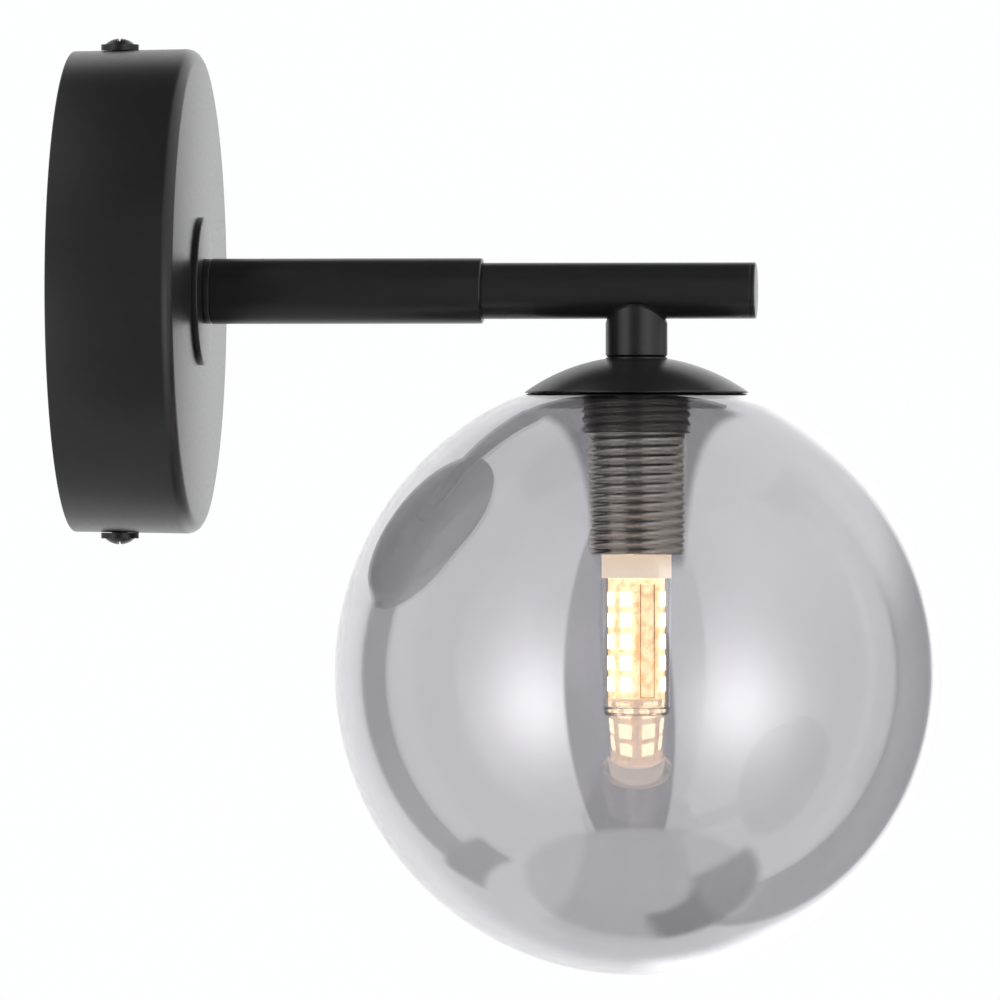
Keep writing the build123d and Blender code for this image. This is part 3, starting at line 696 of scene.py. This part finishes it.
board_bar("board_seam", "led_board", 0, 3.0 * mm, 27.5 * mm, 1.6 * mm, 0.35 * mm)
# Thin brown strips outline the seam bar on both sides and at its foot.
board_bar("seam_outline_left", "brass", -1.75 * mm, 0.3 * mm, 28.2 * mm, 1.4 * mm, 0.3 * mm)
board_bar("seam_outline_right", "brass", 1.75 * mm, 0.3 * mm, 28.2 * mm, 1.4 * mm, 0.3 * mm)
board_bar("seam_outline_foot", "brass", 0, 3.2 * mm, 0.3 * mm, 29.3 * mm, 0.3 * mm)


# --- Studio --------------------------------------------------------------------------------
def studio_light():
    """White all round for what is seen directly, and a studio for what is mirrored.

    In the mirrored studio the backdrop is white, a darker strip runs between it and the walls,
    and the walls are pale with a soft lamp on each side. The gap between the walls is dim, and
    it carries on overhead."""
    world = bpy.data.worlds.new("studio")
    bpy.context.scene.world = world
    world.use_nodes = True
    tree = world.node_tree
    tree.nodes.clear()

    def node(kind, **values):
        made = tree.nodes.new(kind)
        for key, value in values.items():
            setattr(made, key, value)
        return made

    def maths(operation, *inputs):
        made = node("ShaderNodeMath", operation=operation)
        for index, value in enumerate(inputs):
            if isinstance(value, (int, float)):
                made.inputs[index].default_value = value
            else:
                tree.links.new(value, made.inputs[index])
        return made.outputs[0]

    def fade(value, start, stop):
        made = node("ShaderNodeMapRange", interpolation_type="SMOOTHSTEP")
        made.inputs["From Min"].default_value = start
        made.inputs["From Max"].default_value = stop
        tree.links.new(value, made.inputs["Value"])
        return made.outputs["Result"]

    def band(value, start, stop, soft):
        rise = fade(value, start - soft, start + soft)
        return maths("MULTIPLY", rise, maths("SUBTRACT", 1.0, fade(value, stop - soft, stop + soft)))

    def patch(under, level, mask):
        """Paints a patch of an even level over what is under it."""
        return maths("ADD", under, maths("MULTIPLY", maths("SUBTRACT", level, under), mask))

    place = node("ShaderNodeTexCoord")
    facing = node("ShaderNodeMapping", vector_type="VECTOR")
    facing.inputs["Rotation"].default_value = (0, 0, -camera_turn)
    parts = node("ShaderNodeSeparateXYZ")
    tree.links.new(place.outputs["Generated"], facing.inputs["Vector"])
    tree.links.new(facing.outputs["Vector"], parts.inputs[0])
    x, y, z = parts.outputs
    azimuth = maths("DEGREES", maths("ARCTAN2", x, maths("MULTIPLY", y, -1.0)))
    elevation = maths("DEGREES", maths("ARCSINE", z))

    upper_right = maths("MULTIPLY", fade(elevation, 0, 40), fade(azimuth, 20, 60))
    wall_level = 0.80
    brightness = maths("ADD", wall_level, maths("MULTIPLY", upper_right, 0.14))
    behind = maths("SUBTRACT", 1.0, band(azimuth, -133, 153, 2))
    brightness = patch(brightness, 1.06, maths("MULTIPLY", behind, band(elevation, -34, 29, 10)))
    window = maths("MULTIPLY", band(azimuth, 158, 178, 3), band(elevation, -36, 22, 8))
    brightness = patch(brightness, 1.65, window)
    brightness = patch(brightness, 0.58, fade(elevation, -58, -62))
    right_strip = maths("MULTIPLY", band(azimuth, 117, 153, 1.5), band(elevation, -60, 14, 9))
    brightness = patch(brightness, 0.32, right_strip)
    left_strip = maths("MULTIPLY", band(azimuth, -130.5, -112, 1.0), band(elevation, -44, 24, 4))
    brightness = patch(brightness, 0.30, left_strip)
    low_panel = maths("MULTIPLY", band(azimuth, 80, 172, 6), band(elevation, -75, -57, 2))
    brightness = patch(brightness, 0.12, low_panel)
    rising = maths("ADD", elevation, maths("MULTIPLY", azimuth, 0.3))
    left_foot = maths("MULTIPLY", band(azimuth, -136, -99, 2), band(rising, -86, -76, 1.5))
    brightness = patch(brightness, 0.22, left_foot)

    lamp_turn, lamp_drop = radians(40), radians(12)
    lamp_focus, lamp_level = 17.0, 1.22
    for side in (-1, 1):
        lamp = Vector((side * sin(lamp_turn), -cos(lamp_turn), -sin(lamp_drop))).normalized()
        towards = node("ShaderNodeVectorMath", operation="DOT_PRODUCT")
        towards.inputs[1].default_value = lamp
        tree.links.new(facing.outputs["Vector"], towards.inputs[0])
        glow = maths("POWER", maths("MAXIMUM", towards.outputs["Value"], 0.0), lamp_focus)
        brightness = maths("ADD", brightness, maths("MULTIPLY", glow, lamp_level))

    leaning = maths("ADD", azimuth, maths("MULTIPLY", elevation, 0.085))
    gap = maths("MULTIPLY", fade(azimuth, -29.2, -27.4), maths("SUBTRACT", 1.0, fade(leaning, 12, 14)))
    brightness = patch(brightness, 0.22, maths("MULTIPLY", gap, band(elevation, -61, 60, 2)))
    overhead = maths("MULTIPLY", band(x, -0.26, 0.28, 0.025), fade(elevation, 38, 46))
    brightness = patch(brightness, 0.03, overhead)

    path = node("ShaderNodeLightPath")
    mirrored = maths(
        "MINIMUM", maths("ADD", path.outputs["Glossy Depth"], path.outputs["Diffuse Depth"]), 1.0
    )
    mixed = maths(
        "ADD",
        maths("MULTIPLY", brightness, mirrored),
        maths("SUBTRACT", 1.0, mirrored),
    )
    background = node("ShaderNodeBackground")
    background.inputs["Color"].default_value = (0.99, 0.993, 1.0, 1)
    out = node("ShaderNodeOutputWorld")
    tree.links.new(mixed, background.inputs["Strength"])
    tree.links.new(background.outputs[0], out.inputs["Surface"])


def top_lamp():
    """A large soft lamp above, for a faint shadow on the floor."""
    lamp = bpy.data.lights.new("top_lamp", "AREA")
    lamp.shape, lamp.size, lamp.energy = "DISK", 1.4, 9.0
    hung = bpy.data.objects.new("top_lamp", lamp)
    hung.location = (0.1, -0.5, 1.9)
    hung.rotation_euler = (Vector((0.1, 0, -0.05)) - hung.location).to_track_quat("-Z", "Y").to_euler()
    hung.visible_camera = hung.visible_glossy = hung.visible_transmission = False
    bpy.context.scene.collection.objects.link(hung)


def studio_floor():
    """A wide pale floor; it glows faintly, so that it reads as white as what is round it."""
    floor_r, floor_z = 5.0, -0.42
    bm = bmesh.new()
    bmesh.ops.create_circle(bm, cap_ends=True, segments=96, radius=floor_r)
    bmesh.ops.translate(bm, verts=bm.verts, vec=(0.1, 0, floor_z))
    mesh = bpy.data.meshes.new("floor")
    bm.to_mesh(mesh)
    bm.free()
    floor = bpy.data.objects.new("floor", mesh)
    floor.visible_glossy = floor.visible_transmission = False
    bpy.context.scene.collection.objects.link(floor)
    paint = shader("floor_paint", (0.86, 0.86, 0.86), 0.7, Emission_Strength=0.33)
    vary(paint, "Roughness", grain(paint, 12), 0.62, 0.78)
    mesh.materials.append(paint)


def photo_camera():
    """A long lens, a little round towards the arm's end, level with the middle of the light."""
    aim = Vector((105.75, 0, -51.65)) * mm
    distance, focal_pixels, frame_pixels = 3.3, 13360, 1000
    camera = bpy.data.cameras.new("photo_camera")
    camera.sensor_width = 36.0
    camera.lens = focal_pixels / frame_pixels * camera.sensor_width
    camera.clip_start, camera.clip_end = 0.1, 100
    eye = bpy.data.objects.new("photo_camera", camera)
    back_off = Vector((sin(camera_turn), -cos(camera_turn), 0))
    eye.location = aim + back_off * distance
    eye.rotation_euler = (-back_off).to_track_quat("-Z", "Y").to_euler()
    bpy.context.scene.collection.objects.link(eye)
    bpy.context.scene.camera = eye


studio_light()
top_lamp()
studio_floor()
photo_camera()
bpy.context.scene.view_settings.view_transform = "Standard"
